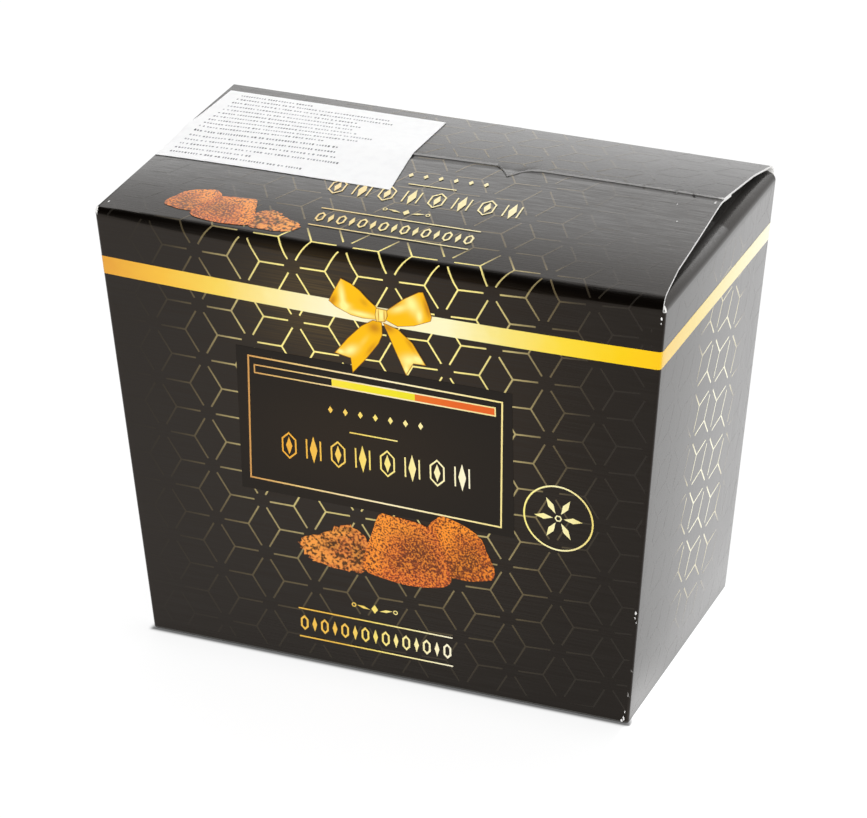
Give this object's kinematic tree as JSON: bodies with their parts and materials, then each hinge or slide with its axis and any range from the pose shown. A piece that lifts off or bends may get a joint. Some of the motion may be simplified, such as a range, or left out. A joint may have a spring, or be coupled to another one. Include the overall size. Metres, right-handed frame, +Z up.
{
  "type": "folding gift carton",
  "caption": "Shut folding carton of black printed card for chocolate truffles, wider at the top than at the base, with a low ridged lid and a paper label stuck on it.",
  "frame": {"origin": "middle of the carton's base, on the surface it stands on", "axes": "+X along the width, to the right as seen from the front; the front panel faces -Y; +Z up"},
  "size_m": [0.14, 0.0771, 0.118],
  "materials": {
    "printed_card": "satin",
    "label_paper": "matte"
  },
  "bodies": {
    "root": {"carton": "printed_card", "label": "label_paper"}
  },
  "joints": []
}
